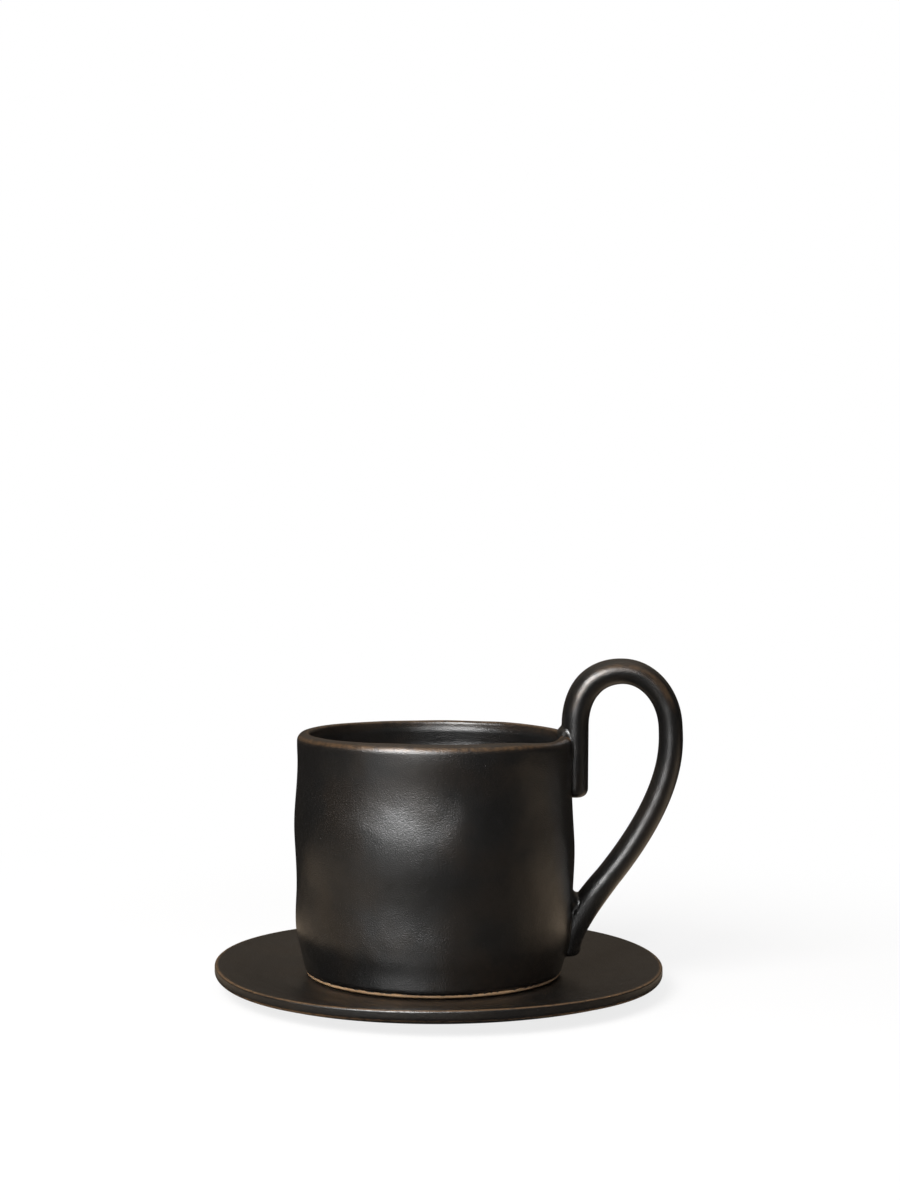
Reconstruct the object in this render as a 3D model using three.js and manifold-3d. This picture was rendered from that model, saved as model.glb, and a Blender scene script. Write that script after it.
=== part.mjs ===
// Hand-built stoneware mug with a tall coil handle, standing on its saucer.
// Millimetres, +Z up, origin at the centre of the saucer's base, handle towards +X.
import * as THREE from "three";
import { mergeVertices } from "three/addons/utils/BufferGeometryUtils.js";
import Module from "manifold-3d";

// Saucer: a pressed disc with a shallow well, on a flat bare foot
const SAUCER_DIAMETER = 140;
const SAUCER_FOOT_DIAMETER = 104;
const SAUCER_FOOT_HEIGHT = 1.2;
const SAUCER_THICKNESS = 3;
const SAUCER_LIP_RISE = 3.6;
const SAUCER_EDGE_HEIGHT = 3.5;
const SAUCER_EDGE_TOP_ROUND = 1;
const SAUCER_EDGE_BOTTOM_ROUND = 1.5;
const WELL_DIAMETER = 94;
const LIP_WARP = 0.4;
const LIP_WARP_WAVES = 3;
const LIP_WARP_TURN = -78;

// Cup body: a rolled slab closed to a tube round a floor disc, on a bare foot ring
const CUP_OFF_CENTRE = -1.6;
const CUP_DIAMETER = 87;
const CUP_HEIGHT = 75.6;
const CUP_BASE_INSET = 3.6;
const BASE_TAPER_HEIGHT = 24;
const BELLY_HEIGHT = 44.6;
const MOUTH_INSET = 0.5;
const WALL_THICKNESS = 4.4;
const LIP_OUTER_ROUND = 2.8;
const LIP_INNER_ROUND = 1.2;
const FLOOR_THICKNESS = 5;
const CUP_FOOT_HEIGHT = 1;
const CUP_FOOT_CHAMFER = 0.4;
const FLOOR_LEDGE = 2.5;

// Undulation that the hands left in the wall: one wave up the wall, leaning round the cup
const RIPPLE_DEPTH = 0.45;
const RIPPLE_PITCH = 36;
const RIPPLE_CREST_HEIGHT = 42;
const RIPPLE_LEAN = 4.5;
const RIPPLE_FADE = 9;

// Hollow in the rim beside the handle, where the thumb held the wall
const RIM_DIP = 1.2;
const RIM_DIP_TURN = -27;
const RIM_DIP_WIDTH = 18;
const RIM_DIP_HEIGHT = 22;

// Handle: one coil, pressed to a flat oval that is wide across the grip and narrows to its tail
const COIL_THICKNESS = 8;
const COIL_WIDTH = 12;
const TAIL_WIDTH = 9;
const GRIP_HEIGHT = 36;
const HANDLE_TURN = -2;
const ARCH_HALF_WIDTH = 14.7;
const ARCH_HEIGHT = 17.2;
const ARCH_RISE = 2.2;
const STUB_LENGTH = 20;
const STUB_PROUD = 0.6;
const LIMB_START_PULL = 1.2;
const LIMB_END_PULL = 37.9;
const LANDING_HEIGHT = 30.4;
const LANDING_STANDOFF = 10.75;
const LANDING_SLOPE = 38.2;
const TAIL_END_HEIGHT = 8;
const TAIL_PROUD = -0.5;
const TAIL_LEAN = 3;
const TAIL_START_PULL = 4;
const TAIL_END_PULL = 6.6;
const STUB_END_ROUND = 2.6;
const TAIL_END_ROUND = 2.2;

// Wads of soft clay that close the two joints of the coil
const RIM_WAD_REACH = 1.9;
const RIM_WAD_WRAP = 3;
const RIM_WAD_FLANK = 1.2;
const RIM_WAD_RISE = 1.8;
const CROTCH_WAD_DEPTH = 2.4;
const CROTCH_WAD_WIDTH = 11;
const CROTCH_WAD_HEIGHT = 6;

// Joint line that separately made pieces keep between them
const JOINT_GAP = 0.3;

// Facets
const ROUND_SIDES = 56;
const COIL_SIDES = 12;
const COIL_STEPS = 56;
const WAD_SIDES = 16;
const CURVE_POINTS = 4;
const WALL_LEVELS = 10;
const CROTCH_SAMPLES = 500;
const MERGE_DISTANCE = 1e-4;

const wasm = await Module();
wasm.setup();

function toSolid(geometry) {
  const bare = new THREE.BufferGeometry();
  bare.setAttribute("position", geometry.getAttribute("position"));
  bare.setIndex(geometry.getIndex());
  const merged = mergeVertices(bare, MERGE_DISTANCE);
  const corners = merged.getIndex().array;
  const triVerts = [];
  for (let i = 0; i < corners.length; i += 3) {
    const [a, b, c] = corners.slice(i, i + 3);
    if (a !== b && b !== c && c !== a) triVerts.push(a, b, c);
  }
  return new wasm.Manifold(new wasm.Mesh({
    numProp: 3,
    vertProperties: new Float32Array(merged.getAttribute("position").array),
    triVerts: new Uint32Array(triVerts),
  }));
}

function toGeometry(solid) {
  const mesh = solid.getMesh();
  const geometry = new THREE.BufferGeometry();
  geometry.setAttribute("position", new THREE.Float32BufferAttribute(mesh.vertProperties, 3));
  geometry.setIndex(Array.from(mesh.triVerts));
  geometry.computeVertexNormals();
  return geometry;
}

// Turned solid from an outline of radius and height, standing on +Z
function turned(outline) {
  return new THREE.LatheGeometry(outline, ROUND_SIDES).rotateX(Math.PI / 2);
}

// Moves each point of a turned piece by what shape(radius, angle, height) returns
function formed(geometry, shape) {
  const points = geometry.getAttribute("position");
  const point = new THREE.Vector3();
  for (let i = 0; i < points.count; i += 1) {
    point.fromBufferAttribute(points, i);
    const angle = Math.atan2(point.y, point.x);
    const [radius, height] = shape(Math.hypot(point.x, point.y), angle, point.z);
    points.setXYZ(i, radius * Math.cos(angle), radius * Math.sin(angle), height);
  }
  geometry.computeVertexNormals();
  return geometry;
}

function glaze() {
  return new THREE.MeshStandardMaterial({ color: 0x2e2a26, roughness: 0.4, metalness: 0 });
}

function bareClay() {
  return new THREE.MeshStandardMaterial({ color: 0x8e714e, roughness: 0.85, metalness: 0 });
}

// Saucer

const wellFloor = SAUCER_FOOT_HEIGHT + SAUCER_THICKNESS;

function saucerPlate() {
  const edge = SAUCER_DIAMETER / 2;
  const crest = wellFloor + SAUCER_LIP_RISE;
  const underEdge = crest - SAUCER_EDGE_HEIGHT;
  const foot = SAUCER_FOOT_DIAMETER / 2;
  const well = WELL_DIAMETER / 2;
  const underReach = edge - SAUCER_EDGE_BOTTOM_ROUND - foot;
  const topReach = edge - SAUCER_EDGE_TOP_ROUND - well;
  const outline = new THREE.Path();
  outline.moveTo(0, SAUCER_FOOT_HEIGHT);
  outline.lineTo(foot, SAUCER_FOOT_HEIGHT);
  outline.quadraticCurveTo(foot + underReach / 2, SAUCER_FOOT_HEIGHT, foot + underReach, underEdge);
  outline.absarc(
    foot + underReach, underEdge + SAUCER_EDGE_BOTTOM_ROUND, SAUCER_EDGE_BOTTOM_ROUND, -Math.PI / 2, 0);
  outline.lineTo(edge, crest - SAUCER_EDGE_TOP_ROUND);
  outline.absarc(
    well + topReach, crest - SAUCER_EDGE_TOP_ROUND, SAUCER_EDGE_TOP_ROUND, 0, Math.PI / 2);
  outline.bezierCurveTo(
    well + topReach * 2 / 3, crest, well + topReach / 3, wellFloor, well, wellFloor);
  outline.lineTo(0, wellFloor);
  const warpTurn = THREE.MathUtils.degToRad(LIP_WARP_TURN);
  return formed(turned(outline.getPoints(CURVE_POINTS)), (radius, angle, height) => {
    const towardsLip = THREE.MathUtils.smoothstep(radius, Math.max(well, foot), edge);
    const warp = LIP_WARP * Math.cos(LIP_WARP_WAVES * (angle - warpTurn));
    return [radius, height + warp * towardsLip];
  });
}

function saucerFoot() {
  const foot = SAUCER_FOOT_DIAMETER / 2;
  const outline = [
    new THREE.Vector2(0, 0),
    new THREE.Vector2(foot - SAUCER_FOOT_HEIGHT, 0),
    new THREE.Vector2(foot, SAUCER_FOOT_HEIGHT),
    new THREE.Vector2(0, SAUCER_FOOT_HEIGHT),
  ];
  return turned(outline);
}

// Cup body, with heights measured from the plane that its foot stands on

function outerRadius(height) {
  const taper = Math.max(0, 1 - (height - CUP_FOOT_HEIGHT) / BASE_TAPER_HEIGHT);
  const closing = Math.max(0, (height - BELLY_HEIGHT) / (CUP_HEIGHT - BELLY_HEIGHT));
  return CUP_DIAMETER / 2 - CUP_BASE_INSET * taper ** 2 - MOUTH_INSET * closing ** 2;
}

function innerRadius(height) {
  return outerRadius(height) - WALL_THICKNESS;
}

// Outline of the outside from the bottom to the crest of the lip, set out by a margin
function outsideOutline(margin) {
  const lipStart = CUP_HEIGHT - LIP_OUTER_ROUND;
  const lipReach = WALL_THICKNESS - LIP_INNER_ROUND;
  const crestRadius = outerRadius(lipStart) - lipReach;
  const outline = [];
  for (let i = 0; i < WALL_LEVELS; i += 1) {
    const height = CUP_FOOT_HEIGHT + (lipStart - CUP_FOOT_HEIGHT) * i / WALL_LEVELS;
    outline.push(new THREE.Vector2(outerRadius(height) + margin, height));
  }
  const lip = new THREE.EllipseCurve(
    crestRadius, lipStart, lipReach + margin, LIP_OUTER_ROUND + margin, 0, Math.PI / 2);
  return outline.concat(lip.getPoints(CURVE_POINTS));
}

// Hand-formed shape of the wall: the ripple moves it out and in, the dip lowers the rim
function handFormed(radius, angle, height) {
  const crest = RIPPLE_CREST_HEIGHT - RIPPLE_LEAN * Math.cos(angle);
  const wave = Math.cos(2 * Math.PI * (height - crest) / RIPPLE_PITCH);
  const floorTop = CUP_FOOT_HEIGHT + FLOOR_THICKNESS;
  const low = THREE.MathUtils.smoothstep(height, floorTop, floorTop + RIPPLE_FADE);
  const high = 1 - THREE.MathUtils.smoothstep(height, CUP_HEIGHT - RIPPLE_FADE, CUP_HEIGHT);
  const aside = (THREE.MathUtils.radToDeg(angle) - RIM_DIP_TURN) / RIM_DIP_WIDTH;
  const sunk = THREE.MathUtils.smoothstep(height, CUP_HEIGHT - RIM_DIP_HEIGHT, CUP_HEIGHT);
  return [
    radius + RIPPLE_DEPTH * wave * low * high,
    height - RIM_DIP * Math.exp(-(aside ** 2)) * sunk,
  ];
}

function cupWall() {
  const outline = outsideOutline(0);
  const crest = outline.at(-1);
  const rimInside = new THREE.EllipseCurve(
    crest.x, CUP_HEIGHT - LIP_INNER_ROUND, LIP_INNER_ROUND, LIP_INNER_ROUND, Math.PI / 2, Math.PI);
  outline.push(...rimInside.getPoints(CURVE_POINTS / 2).slice(1));
  const insideTop = CUP_HEIGHT - LIP_INNER_ROUND;
  for (let i = 1; i <= WALL_LEVELS; i += 1) {
    const height = insideTop + (CUP_FOOT_HEIGHT - insideTop) * i / WALL_LEVELS;
    outline.push(new THREE.Vector2(innerRadius(height), height));
  }
  outline.push(outline[0].clone());
  return formed(turned(outline), handFormed);
}

// Everything inside the outer face of the wall, to cut what is pressed against it
function cupPlug() {
  const outline = outsideOutline(JOINT_GAP);
  outline.unshift(new THREE.Vector2(0, CUP_FOOT_HEIGHT));
  outline.push(new THREE.Vector2(0, outline.at(-1).y));
  return toSolid(formed(turned(outline), handFormed));
}

function cupFloor() {
  const top = CUP_FOOT_HEIGHT + FLOOR_THICKNESS;
  return turned([
    new THREE.Vector2(0, CUP_FOOT_HEIGHT),
    new THREE.Vector2(innerRadius(CUP_FOOT_HEIGHT) - JOINT_GAP, CUP_FOOT_HEIGHT),
    new THREE.Vector2(innerRadius(top) - JOINT_GAP, top),
    new THREE.Vector2(0, top),
  ]);
}

function cupFootRing() {
  const outside = outerRadius(CUP_FOOT_HEIGHT);
  const inside = innerRadius(CUP_FOOT_HEIGHT) - FLOOR_LEDGE;
  const outline = [
    new THREE.Vector2(inside, 0),
    new THREE.Vector2(outside - CUP_FOOT_CHAMFER, 0),
    new THREE.Vector2(outside, CUP_FOOT_CHAMFER),
    new THREE.Vector2(outside, CUP_FOOT_HEIGHT),
    new THREE.Vector2(inside, CUP_FOOT_HEIGHT),
  ];
  outline.push(outline[0].clone());
  return turned(outline);
}

// Handle, drawn as a path of radius and height in the plane through the cup's axis

const coilRadius = COIL_THICKNESS / 2;
const coilHalfWidth = COIL_WIDTH / 2;
const tailHalfWidth = TAIL_WIDTH / 2;
const handleTurn = THREE.MathUtils.degToRad(HANDLE_TURN);
const stubEnd = CUP_HEIGHT - STUB_LENGTH;
const stubRadius = outerRadius((stubEnd + CUP_HEIGHT) / 2) + STUB_PROUD;

function leaning(degrees, length) {
  const slope = THREE.MathUtils.degToRad(degrees);
  return new THREE.Vector2(Math.sin(slope), Math.cos(slope)).multiplyScalar(length);
}

function handlePath() {
  const spring = CUP_HEIGHT + ARCH_RISE;
  const limbRadius = stubRadius + 2 * ARCH_HALF_WIDTH;
  const landing = new THREE.Vector2(outerRadius(LANDING_HEIGHT) + LANDING_STANDOFF, LANDING_HEIGHT);
  const limbEnd = landing.clone().add(leaning(LANDING_SLOPE, LIMB_END_PULL));
  const tailStart = landing.clone().sub(leaning(LANDING_SLOPE, TAIL_START_PULL));
  const tail = new THREE.Vector2(outerRadius(TAIL_END_HEIGHT) + TAIL_PROUD, TAIL_END_HEIGHT);
  const tailEnd = tail.clone().add(leaning(TAIL_LEAN, TAIL_END_PULL));
  const path = new THREE.Path();
  path.moveTo(stubRadius, stubEnd + STUB_END_ROUND);
  path.lineTo(stubRadius, spring);
  path.absellipse(
    stubRadius + ARCH_HALF_WIDTH, spring, ARCH_HALF_WIDTH, ARCH_HEIGHT, Math.PI, 0, true);
  path.bezierCurveTo(limbRadius, spring - LIMB_START_PULL, limbEnd.x, limbEnd.y, landing.x, landing.y);
  path.bezierCurveTo(tailStart.x, tailStart.y, tailEnd.x, tailEnd.y, tail.x, tail.y);
  return path;
}

// The same path stood up in space
class HandleCurve extends THREE.Curve {
  constructor(path) {
    super();
    this.path = path;
  }

  getPoint(t) {
    const { x, y } = this.path.getPoint(t);
    return new THREE.Vector3(x, 0, y);
  }
}

function ellipsoid(size, centre) {
  const shape = new THREE.SphereGeometry(1, WAD_SIDES, WAD_SIDES / 2).rotateX(Math.PI / 2);
  shape.scale(size.x, size.y, size.z);
  shape.translate(centre.x, 0, centre.y);
  return toSolid(shape.rotateZ(handleTurn));
}

const handleLine = handlePath();

// Draws the width of the coil in, from the grip down to its tail
function narrowed(tube, side, tailSide) {
  const points = tube.getAttribute("position");
  for (let i = 0; i < points.count; i += 1) {
    const grip = THREE.MathUtils.smoothstep(points.getZ(i), TAIL_END_HEIGHT, GRIP_HEIGHT);
    points.setY(i, points.getY(i) * THREE.MathUtils.lerp(tailSide / side, 1, grip));
  }
  return tube;
}

// The coil before it is pressed on the wall, set out by a margin and turned about the cup's axis
function rolledCoil(margin) {
  const reach = coilRadius + margin;
  const side = coilHalfWidth + margin;
  const tailSide = tailHalfWidth + margin;
  const section = new THREE.Shape().absellipse(0, 0, side, reach, 0, 2 * Math.PI);
  const tube = new THREE.ExtrudeGeometry(section, {
    curveSegments: COIL_SIDES / 2,
    steps: COIL_STEPS,
    extrudePath: new HandleCurve(handleLine),
  });
  const stubTip = new THREE.Vector3(reach, side, STUB_END_ROUND + margin);
  const tailTip = new THREE.Vector3(reach, tailSide, TAIL_END_ROUND + margin);
  return toSolid(narrowed(tube, side, tailSide).rotateZ(handleTurn))
    .add(ellipsoid(stubTip, handleLine.getPoint(0)))
    .add(ellipsoid(tailTip, handleLine.getPoint(1)));
}

const plug = cupPlug();
const coilClearance = rolledCoil(JOINT_GAP);

function handleCoil() {
  return toGeometry(rolledCoil(0).subtract(plug));
}

// Clay smeared from the rim up the inner side of the coil
function rimWad() {
  const length = RIM_WAD_REACH + RIM_WAD_WRAP;
  const size = new THREE.Vector3(length / 2, coilHalfWidth + RIM_WAD_FLANK, RIM_WAD_RISE);
  const centre = new THREE.Vector2(stubRadius - coilRadius - RIM_WAD_REACH + length / 2, CUP_HEIGHT);
  return toGeometry(ellipsoid(size, centre).subtract(plug).subtract(coilClearance));
}

// Clay pressed into the corner where the coil's upper side runs into the wall
function crotchWad() {
  const upperSide = [];
  for (let t = 1; t > 1 / 2; t -= 1 / CROTCH_SAMPLES) {
    const along = handleLine.getTangentAt(t);
    const across = new THREE.Vector2(along.y, -along.x).multiplyScalar(coilRadius);
    upperSide.push(handleLine.getPointAt(t).add(across));
  }
  const centre = upperSide.find((point) => point.x > outerRadius(point.y));
  const size = new THREE.Vector3(CROTCH_WAD_DEPTH, CROTCH_WAD_WIDTH / 2, CROTCH_WAD_HEIGHT / 2);
  return toGeometry(ellipsoid(size, centre).subtract(plug).subtract(coilClearance));
}

function piece(name, geometry, material) {
  const mesh = new THREE.Mesh(geometry, material);
  mesh.name = name;
  return mesh;
}

const saucer = new THREE.Group();
saucer.add(
  piece("saucer_plate", saucerPlate(), glaze()),
  piece("saucer_foot", saucerFoot(), bareClay()),
);

const cup = new THREE.Group();
cup.position.set(CUP_OFF_CENTRE, 0, wellFloor);
cup.add(
  piece("cup_wall", cupWall(), glaze()),
  piece("cup_floor", cupFloor(), glaze()),
  piece("cup_foot_ring", cupFootRing(), bareClay()),
  piece("handle_coil", handleCoil(), glaze()),
  piece("handle_rim_wad", rimWad(), glaze()),
  piece("handle_crotch_wad", crotchWad(), glaze()),
);

const mugWithSaucer = new THREE.Group();
mugWithSaucer.add(saucer, cup);

export default mugWithSaucer;
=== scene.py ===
import math

import bpy
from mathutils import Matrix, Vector


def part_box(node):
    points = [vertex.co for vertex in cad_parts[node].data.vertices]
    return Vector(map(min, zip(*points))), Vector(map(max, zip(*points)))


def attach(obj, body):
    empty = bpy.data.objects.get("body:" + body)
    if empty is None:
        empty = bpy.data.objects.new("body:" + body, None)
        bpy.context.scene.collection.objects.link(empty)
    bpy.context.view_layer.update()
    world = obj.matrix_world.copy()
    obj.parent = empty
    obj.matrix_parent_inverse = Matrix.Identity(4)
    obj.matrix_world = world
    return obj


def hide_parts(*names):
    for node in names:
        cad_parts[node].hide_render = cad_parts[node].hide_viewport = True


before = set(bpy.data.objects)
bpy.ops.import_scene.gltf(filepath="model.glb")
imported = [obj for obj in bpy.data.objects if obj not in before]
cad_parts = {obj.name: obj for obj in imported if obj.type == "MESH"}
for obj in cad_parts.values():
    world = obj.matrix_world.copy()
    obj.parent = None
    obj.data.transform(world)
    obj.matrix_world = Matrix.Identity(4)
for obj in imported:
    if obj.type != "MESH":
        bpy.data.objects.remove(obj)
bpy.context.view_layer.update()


# Saucer foot: the flat base under the pressed saucer, of the same stoneware and fired in one with it.
# It is bare clay, wiped clean of glaze so that it doesn't stick to the kiln shelf.
MM = 0.001
WELD = 0.001 * MM
FOOT_EDGE_ROUND = 0.35 * MM
FOOT_EDGE_STEPS = 4
FOOT_SIDES = 192
CLAY_BUFF = (0.30, 0.185, 0.092, 1)
CLAY_BROWN = (0.185, 0.108, 0.052, 1)
CLAY_PATCH = 9 * MM
CLAY_TOASTED = (0.35, 0.7)
CLAY_ROUGHNESS = (0.85, 0.72)
CLAY_GRAIN = 0.5 * MM
CLAY_GRAIN_STRENGTH = 0.5
CLAY_GRAIN_DEPTH = 0.12 * MM
CLAY_SANDY = (0.4, 0.75)
CLAY_SAND_SHARE = 0.6
GLAZE_BLACK = (0.0076, 0.0073, 0.0070, 1)
GLAZE_RAG = 1.3 * MM
GLAZE_RAG_SPAN = (0.3, 0.7)
GLAZE_RAG_SHIFT = 0.4
GLAZE_LAP_EDGE = (0.75, 0.9)


def feed(tree, socket, value):
    """Links what another node gives to a socket, or sets a plain value on it."""
    if isinstance(value, bpy.types.NodeSocket):
        tree.links.new(value, socket)
    else:
        socket.default_value = value


def add_node(tree, kind, sockets=None, **settings):
    """Adds a shader node with its settings, and sets or links the input sockets that are named."""
    made = tree.nodes.new(kind)
    for name, value in settings.items():
        setattr(made, name, value)
    for socket, value in (sockets or {}).items():
        feed(tree, made.inputs[socket], value)
    return made


def combined(tree, operation, first, second=0.0):
    """One value made of one or two by a plain sum, such as ADD, MULTIPLY or ABSOLUTE."""
    return add_node(tree, "ShaderNodeMath", {0: first, 1: second}, operation=operation).outputs["Value"]


def own_place(tree):
    """Each point's place in the piece's own frame, so that a pattern moves with the piece."""
    return add_node(tree, "ShaderNodeTexCoord").outputs["Object"]


def marked(tree, mark):
    """The share that mark_points stored on the piece, or 0 on a piece without the mark."""
    return add_node(tree, "ShaderNodeAttribute", attribute_name=mark).outputs["Fac"]


def speckle(tree, size, detail):
    """Noise whose blotches are about the given size, fixed to the piece."""
    noise = add_node(tree, "ShaderNodeTexNoise", {
        "Vector": own_place(tree), "Scale": 1 / size, "Detail": detail,
    })
    return noise.outputs["Fac"]


def between(tree, value, start, end, low=0.0, high=1.0):
    """Runs smoothly from low to high as the value goes from start to end."""
    ramp = add_node(tree, "ShaderNodeMapRange", {
        "Value": value, "From Min": start, "From Max": end, "To Min": low, "To Max": high,
    }, interpolation_type="SMOOTHSTEP")
    return ramp.outputs["Result"]


def blend_colours(tree, share, first, second):
    """The first colour where the share is 0, the second where it is 1."""
    mix = add_node(tree, "ShaderNodeMix", data_type="RGBA")
    for name, value in (("Factor", share), ("A", first), ("B", second)):
        inlet = next(socket for socket in mix.inputs if socket.name == name and socket.enabled)
        feed(tree, inlet, value)
    return next(socket for socket in mix.outputs if socket.enabled)


def relief(tree, height, strength, depth, under=None, sunk=False):
    """The normal of a skin that a pattern raises, or sinks, on top of the relief under it."""
    sockets = {"Height": height, "Strength": strength, "Distance": depth}
    if under is not None:
        sockets["Normal"] = under
    return add_node(tree, "ShaderNodeBump", sockets, invert=sunk).outputs["Normal"]


def bare_clay():
    """Buff stoneware body: sandy, toasted in patches by the fire, with a dry grain."""
    clay = bpy.data.materials.new("bare_clay")
    clay.use_nodes = True
    tree = clay.node_tree
    surface = tree.nodes["Principled BSDF"]
    toasted = between(tree, speckle(tree, CLAY_PATCH, detail=4.0), *CLAY_TOASTED)
    sandy = between(tree, speckle(tree, CLAY_GRAIN, detail=3.0), *CLAY_SANDY, 0.0, CLAY_SAND_SHARE)
    body = blend_colours(tree, toasted, CLAY_BUFF, CLAY_BROWN)
    body = blend_colours(tree, sandy, body, CLAY_BROWN)
    rag = speckle(tree, GLAZE_RAG, detail=3.0)
    ragged = between(tree, rag, *GLAZE_RAG_SPAN, -GLAZE_RAG_SHIFT, GLAZE_RAG_SHIFT)
    lapped = combined(tree, "ADD", marked(tree, "glaze_lap"), ragged)
    body = blend_colours(tree, between(tree, lapped, *GLAZE_LAP_EDGE), body, GLAZE_BLACK)
    grain = speckle(tree, CLAY_GRAIN, detail=4.0)
    feed(tree, surface.inputs["Base Color"], body)
    feed(tree, surface.inputs["Roughness"], between(tree, toasted, 0, 1, *CLAY_ROUGHNESS))
    feed(tree, surface.inputs["Normal"], relief(tree, grain, CLAY_GRAIN_STRENGTH, CLAY_GRAIN_DEPTH))
    return clay


def turned(name, outline, sides):
    """Extrudes an outline of (radius, height) points from one vertex and spins it about Z."""
    bpy.ops.object.select_all(action="DESELECT")
    bpy.ops.mesh.primitive_plane_add(size=MM)
    piece = bpy.context.object
    piece.name = piece.data.name = name
    bpy.ops.object.mode_set(mode="EDIT")
    bpy.ops.mesh.select_all(action="SELECT")
    bpy.ops.mesh.merge(type="CENTER")
    bpy.ops.transform.translate(value=(outline[0][0], 0, outline[0][1]))
    for (radius, height), (next_radius, next_height) in zip(outline, outline[1:]):
        step = (next_radius - radius, 0, next_height - height)
        bpy.ops.mesh.extrude_region_move(TRANSFORM_OT_translate={"value": step})
    bpy.ops.mesh.select_all(action="SELECT")
    bpy.ops.mesh.spin(steps=sides, angle=2 * math.pi, center=(0, 0, 0), axis=(0, 0, 1))
    bpy.ops.mesh.select_all(action="SELECT")
    bpy.ops.mesh.remove_doubles(threshold=WELD)
    bpy.ops.mesh.normals_make_consistent(inside=False)
    bpy.ops.object.mode_set(mode="OBJECT")
    bpy.ops.object.shade_smooth()
    return piece


def arc(centre, reach, start, end, steps):
    """Points of an elliptic arc about centre, by (radius, height) reach, between two angles in degrees."""
    points = []
    for i in range(steps + 1):
        angle = math.radians(start + (end - start) * i / steps)
        points.append((centre[0] + reach[0] * math.cos(angle), centre[1] + reach[1] * math.sin(angle)))
    return points


foot_low, foot_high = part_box("saucer_foot")
foot_radius = foot_high.x
foot_base_radius = foot_radius - (foot_high.z - foot_low.z)
foot_outline = [(0, foot_low.z), (foot_base_radius / 2, foot_low.z)]
foot_outline += arc(
    (foot_base_radius - FOOT_EDGE_ROUND, foot_low.z + FOOT_EDGE_ROUND),
    (FOOT_EDGE_ROUND, FOOT_EDGE_ROUND), -90, 0, FOOT_EDGE_STEPS)
foot_outline += [(foot_radius - FOOT_EDGE_ROUND, foot_high.z), (0, foot_high.z)]
saucer_foot = turned("saucer_foot_bare", foot_outline, FOOT_SIDES)
clay = bare_clay()
saucer_foot.data.materials.append(clay)
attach(saucer_foot, "saucer")
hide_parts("saucer_foot")


# Saucer plate: a pressed disc of stoneware with a flat well and a lip that turns up a little, and that
# wandered as it dried. It is dipped in a satin black glaze, which breaks brown where it thins at the edge.
# The brown line round the underside of the edge is partly thinned glaze and partly painted reflection of
# the lit table under it. It is painted stronger to the left and right than at the front and back.
SAUCER_SIDES = 256
PLATE_EDGE_HEIGHT = 3.5 * MM
PLATE_TOP_ROUND = 0.6 * MM
PLATE_BOTTOM_ROUND = 1.5 * MM
PLATE_ROUND_STEPS = 8
PLATE_LIP_RISE = 3.6 * MM
PLATE_UNDER_STEPS = 12
PLATE_SLOPE_STEPS = 32
WELL_RADIUS = 47 * MM
WELL_STEPS = 40
LIP_WARP = 0.4 * MM
LIP_WARP_WAVES = 3
LIP_WARP_TURN = -78
PLATE_RING_DEPTH = 0.035 * MM
PLATE_RING_PITCH = 5.5 * MM
PLATE_TOP_SLACK = 0.01 * MM
EDGE_LINE_OUT = 0.15 * MM
EDGE_LINE_FADE = (0.1 * MM, 0.42 * MM)
EDGE_LINE_DEPTH = (1.2 * MM, 0.6 * MM)
# The line round the underside of the edge: partly thinned glaze, partly painted reflection of the lit
# table, painted stronger to the left and right than at the front and back.
UNDER_LINE_OUT = 0.75 * MM
UNDER_LINE_FADE = (0.45 * MM, 0.75 * MM)
UNDER_LINE_RISE = (1.2 * MM, 0.5 * MM)
UNDER_LINE_FRONT_SHARE = 0.5
UNDER_LINE_SIDE_GAIN = 1.2
UNDER_LINE_SIDE_REACH = (15 * MM, 55 * MM)
GLAZE_RUST = (0.0104, 0.0082, 0.0064, 1)
GLAZE_BREAK_AND_PAINTED_REFLECTION = (0.15, 0.085, 0.040, 1)
GLAZE_SPECK = (0.16, 0.13, 0.10, 1)
GLAZE_ROUGHNESS = (0.29, 0.37)
GLAZE_UNDER_GLOSS = 0.36
GLAZE_COAT = 0.65
GLAZE_COAT_ROUGHNESS = 0.14
GLAZE_CLOUD = 17 * MM
GLAZE_CLOUD_GLOSS = (0.3, 0.7)
GLAZE_CLOUD_RUST = (0.42, 0.68)
GLAZE_PEEL = 1.6 * MM
GLAZE_PEEL_STRENGTH = 0.15
GLAZE_PEEL_DEPTH = 0.06 * MM
GLAZE_GRAIN = 0.34 * MM
GLAZE_GRAIN_DEPTH = 0.09 * MM
GLAZE_PAT = 9 * MM
GLAZE_PAT_DEPTH = 0.3 * MM
THIN_PATCHES = (0.3, 0.6)
THIN_LEAST = 0.35
PINHOLE_SPACING = 5 * MM
PINHOLE_SIZE = 0.045
PINHOLE_SPREAD = 0.4
PINHOLE_STRENGTH = 0.8
PINHOLE_DEPTH = 0.15 * MM
SPECK_SPACING = 7 * MM
SPECK_SIZE = 0.035
SPECK_SPREAD = 0.3
DOT_CHOICE_FADE = 0.05


def smooth_step(value, start, end):
    """0 before start and 1 past end, with an easy run between them."""
    share = min(max((value - start) / (end - start), 0), 1)
    return share * share * (3 - 2 * share)


def formed(piece, shape):
    """Moves each point to the (radius, height) that shape(radius, angle, height) gives for it."""
    for vertex in piece.data.vertices:
        x, y, z = vertex.co
        angle = math.atan2(y, x)
        radius, height = shape(math.hypot(x, y), angle, z)
        vertex.co = (radius * math.cos(angle), radius * math.sin(angle), height)
    piece.data.update()


def mark_points(piece, mark, share):
    """Stores on each point a share by its place, for the material to read: 0 is none, 1 or more is all."""
    layer = piece.data.attributes.new(mark, "FLOAT", "POINT")
    for vertex in piece.data.vertices:
        layer.data[vertex.index].value = share(vertex.co)


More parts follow.
